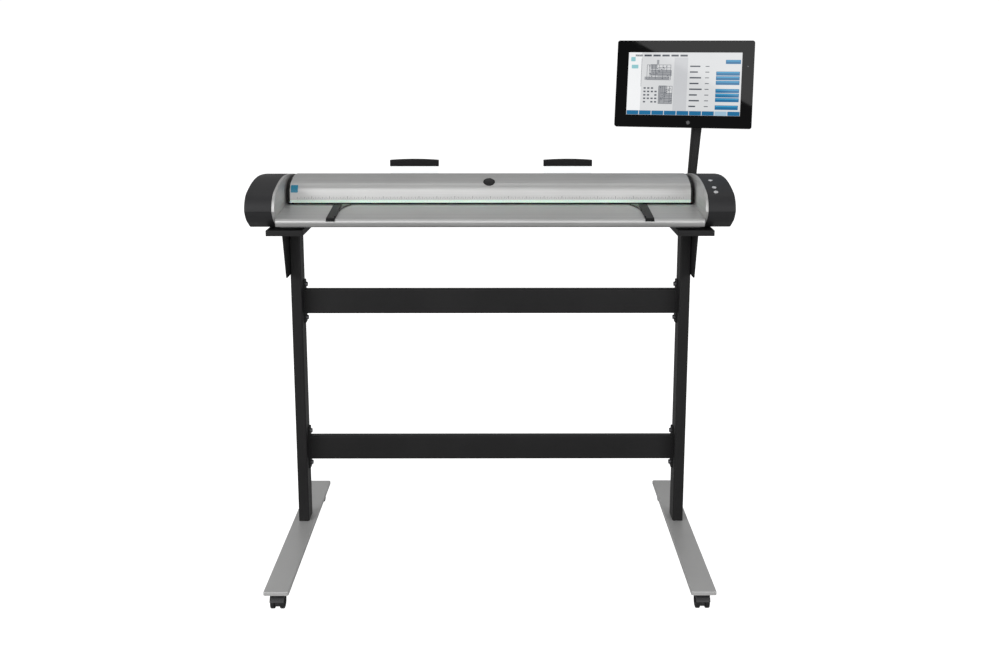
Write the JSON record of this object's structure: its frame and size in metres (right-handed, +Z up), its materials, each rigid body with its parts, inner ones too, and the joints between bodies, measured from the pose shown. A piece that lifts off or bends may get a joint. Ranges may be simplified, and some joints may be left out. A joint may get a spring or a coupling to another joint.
{
  "type": "sheet-fed large-format scanner",
  "caption": "Wide sheet-fed document scanner with an opening lid on a wheeled stand, with sheet guides and a swivelling touch screen on a post.",
  "frame": {"origin": "on the floor, on the stand's mid-plane and level with the front faces of the two uprights", "axes": "+X to the right of a person who feeds a sheet, +Y to the rear, +Z up"},
  "size_m": [1.4569, 0.8565, 1.4489],
  "materials": {
    "stand_black": "fine-textured powder coat",
    "foot_silver": "semi-gloss silver powder coat",
    "brushed_silver": "brushed, satin",
    "frame_silver": "satin",
    "charcoal_plastic": "fine spark-eroded grain",
    "black_plastic": "matt",
    "gloss_black": "polished",
    "bolt_steel": "zinc, satin",
    "steel": "ground",
    "roller_rubber": "matt",
    "caster_grey": "semi-gloss",
    "caster_wheel": "satin",
    "zinc_sheet": "zinc plated",
    "scan_glass": "clear",
    "light_strip": "translucent",
    "white_plate": "matt",
    "circuit_green": "solder mask",
    "clear_plastic": "clear",
    "belt_rubber": "toothed",
    "screen_glass": "polished, black border",
    "lcd": "lit",
    "key_grey": "satin"
  },
  "bodies": {
    "stand": {"base_chassis": "zinc_sheet", "beam_end_plates": "stand_black", "cis_modules": "gloss_black", "data_ports": "steel", "drive_belt": "belt_rubber", "feed_motor": "steel", "infeed_table": "brushed_silver", "left_end_cap": "charcoal_plastic", "left_foot": "foot_silver", "left_side_frame": "frame_silver", "left_top_bracket": "stand_black", "left_upright": "stand_black", "lid_hinge_pins": "steel", "lower_beam": "stand_black", "main_board": "circuit_green", "monitor_post": "stand_black", "power_inlet": "black_plastic", "power_supply": "steel", "rear_cover": "zinc_sheet", "right_end_cap": "charcoal_plastic", "right_foot": "foot_silver", "right_side_frame": "frame_silver", "right_top_bracket": "stand_black", "right_upright": "stand_black", "scan_glass": "scan_glass", "stand_bolts": "bolt_steel", "upper_beam": "stand_black"},
    "lid": {"lid_shell": "brushed_silver", "lid_frame": "black_plastic", "background_plate": "white_plate", "lid_light_strip": "light_strip"},
    "front_roller": {"front_feed_roller": "roller_rubber"},
    "rear_roller": {"rear_feed_roller": "roller_rubber"},
    "motor_shaft": {"motor_pulley": "steel"},
    "front_pinch": {"front_pinch_roller": "roller_rubber"},
    "rear_pinch": {"rear_pinch_roller": "roller_rubber"},
    "start_key": {"start_button": "key_grey"},
    "copy_key": {"copy_button": "key_grey"},
    "stop_key": {"stop_button": "key_grey"},
    "power_switch": {"power_rocker": "gloss_black"},
    "left_guide": {"left_edge_guide": "black_plastic"},
    "right_guide": {"right_edge_guide": "black_plastic"},
    "left_return": {"left_return_guide": "clear_plastic", "left_return_bar": "black_plastic"},
    "right_return": {"right_return_guide": "clear_plastic", "right_return_bar": "black_plastic"},
    "swivel": {"swivel_head": "stand_black"},
    "monitor": {"tilt_bracket": "stand_black", "monitor_housing": "black_plastic", "monitor_glass": "screen_glass", "lcd_panel": "lcd"},
    "home_key": {"home_button": "key_grey"},
    "caster_front_left": {"caster_hood_front_left": "caster_grey"},
    "wheels_front_left": {"caster_wheels_front_left": "caster_wheel"},
    "caster_front_right": {"caster_hood_front_right": "caster_grey"},
    "wheels_front_right": {"caster_wheels_front_right": "caster_wheel"},
    "caster_rear_left": {"caster_hood_rear_left": "caster_grey"},
    "wheels_rear_left": {"caster_wheels_rear_left": "caster_wheel"},
    "caster_rear_right": {"caster_hood_rear_right": "caster_grey"},
    "wheels_rear_right": {"caster_wheels_rear_right": "caster_wheel"}
  },
  "joints": [
    {"name": "lid_hinge", "type": "hinge", "parent": "stand", "child": "lid", "pos_m": [0, 0.232, 1.033], "axis": [-1, 0, 0], "range_deg": [0, 70]},
    {"name": "front_roller_spin", "type": "hinge", "parent": "stand", "child": "front_roller", "pos_m": [0, 0.034, 0.987], "axis": [1, 0, 0], "continuous": true},
    {"name": "rear_roller_spin", "type": "hinge", "parent": "stand", "child": "rear_roller", "pos_m": [0, 0.116, 0.987], "axis": [1, 0, 0], "continuous": true},
    {"name": "motor_spin", "type": "hinge", "parent": "stand", "child": "motor_shaft", "pos_m": [0.6, 0.18, 0.971], "axis": [1, 0, 0], "continuous": true},
    {"name": "front_pinch_spin", "type": "hinge", "parent": "lid", "child": "front_pinch", "pos_m": [0, 0.034, 1.0033], "axis": [1, 0, 0], "continuous": true},
    {"name": "rear_pinch_spin", "type": "hinge", "parent": "lid", "child": "rear_pinch", "pos_m": [0, 0.116, 1.0033], "axis": [1, 0, 0], "continuous": true},
    {"name": "start_press", "type": "slide", "parent": "stand", "child": "start_key", "axis": [0, 0.3667, -0.9304], "range_m": [0, 0.0012], "stiffness_N_per_m": 500},
    {"name": "copy_press", "type": "slide", "parent": "stand", "child": "copy_key", "axis": [0, 0.2885, -0.9575], "range_m": [0, 0.0012], "stiffness_N_per_m": 500},
    {"name": "stop_press", "type": "slide", "parent": "stand", "child": "stop_key", "axis": [0, 0.1621, -0.9868], "range_m": [0, 0.0012], "stiffness_N_per_m": 500},
    {"name": "rocker_tilt", "type": "hinge", "parent": "stand", "child": "power_switch", "pos_m": [0.473, 0.271, 0.97], "axis": [1, 0, 0], "range_deg": [-14, 0]},
    {"name": "left_guide_slide", "type": "slide", "parent": "stand", "child": "left_guide", "axis": [1, 0, 0], "range_m": [-0.12, 0.32]},
    {"name": "right_guide_slide", "type": "slide", "parent": "stand", "child": "right_guide", "axis": [-1, 0, 0], "range_m": [-0.12, 0.32]},
    {"name": "left_return_fold", "type": "hinge", "parent": "stand", "child": "left_return", "pos_m": [-0.237, 0.289, 0.985], "axis": [-1, 0, 0], "range_deg": [0, 60]},
    {"name": "right_return_fold", "type": "hinge", "parent": "stand", "child": "right_return", "pos_m": [0.237, 0.289, 0.985], "axis": [-1, 0, 0], "range_deg": [0, 60]},
    {"name": "monitor_swivel", "type": "hinge", "parent": "stand", "child": "swivel", "pos_m": [0.65, 0.403, 1.3055], "axis": [0, 0, 1], "range_deg": [-35, 35]},
    {"name": "monitor_tilt", "type": "hinge", "parent": "swivel", "child": "monitor", "pos_m": [0.65, 0.403, 1.3055], "axis": [0.9686, -0.2487, 0], "range_deg": [-15, 12]},
    {"name": "home_press", "type": "slide", "parent": "monitor", "child": "home_key", "axis": [0.2433, 0.9474, -0.2079], "range_m": [0, 0.0008], "stiffness_N_per_m": 500},
    {"name": "swivel_front_left", "type": "hinge", "parent": "stand", "child": "caster_front_left", "pos_m": [-0.549, -0.367, 0.048], "axis": [0, 0, 1], "continuous": true},
    {"name": "spin_front_left", "type": "hinge", "parent": "caster_front_left", "child": "wheels_front_left", "pos_m": [-0.549, -0.379, 0.02], "axis": [1, 0, 0], "continuous": true},
    {"name": "swivel_front_right", "type": "hinge", "parent": "stand", "child": "caster_front_right", "pos_m": [0.549, -0.367, 0.048], "axis": [0, 0, 1], "continuous": true},
    {"name": "spin_front_right", "type": "hinge", "parent": "caster_front_right", "child": "wheels_front_right", "pos_m": [0.549, -0.379, 0.02], "axis": [1, 0, 0], "continuous": true},
    {"name": "swivel_rear_left", "type": "hinge", "parent": "stand", "child": "caster_rear_left", "pos_m": [-0.549, 0.253, 0.048], "axis": [0, 0, 1], "continuous": true},
    {"name": "spin_rear_left", "type": "hinge", "parent": "caster_rear_left", "child": "wheels_rear_left", "pos_m": [-0.549, 0.265, 0.02], "axis": [1, 0, 0], "continuous": true},
    {"name": "swivel_rear_right", "type": "hinge", "parent": "stand", "child": "caster_rear_right", "pos_m": [0.549, 0.253, 0.048], "axis": [0, 0, 1], "continuous": true},
    {"name": "spin_rear_right", "type": "hinge", "parent": "caster_rear_right", "child": "wheels_rear_right", "pos_m": [0.549, 0.265, 0.02], "axis": [1, 0, 0], "continuous": true}
  ],
  "couplings": [
    {"joint": "rear_roller_spin", "follows": "front_roller_spin", "ratio": 1},
    {"joint": "motor_spin", "follows": "front_roller_spin", "ratio": 2},
    {"joint": "front_pinch_spin", "follows": "front_roller_spin", "ratio": -1.6667},
    {"joint": "rear_pinch_spin", "follows": "front_roller_spin", "ratio": -1.6667}
  ]
}
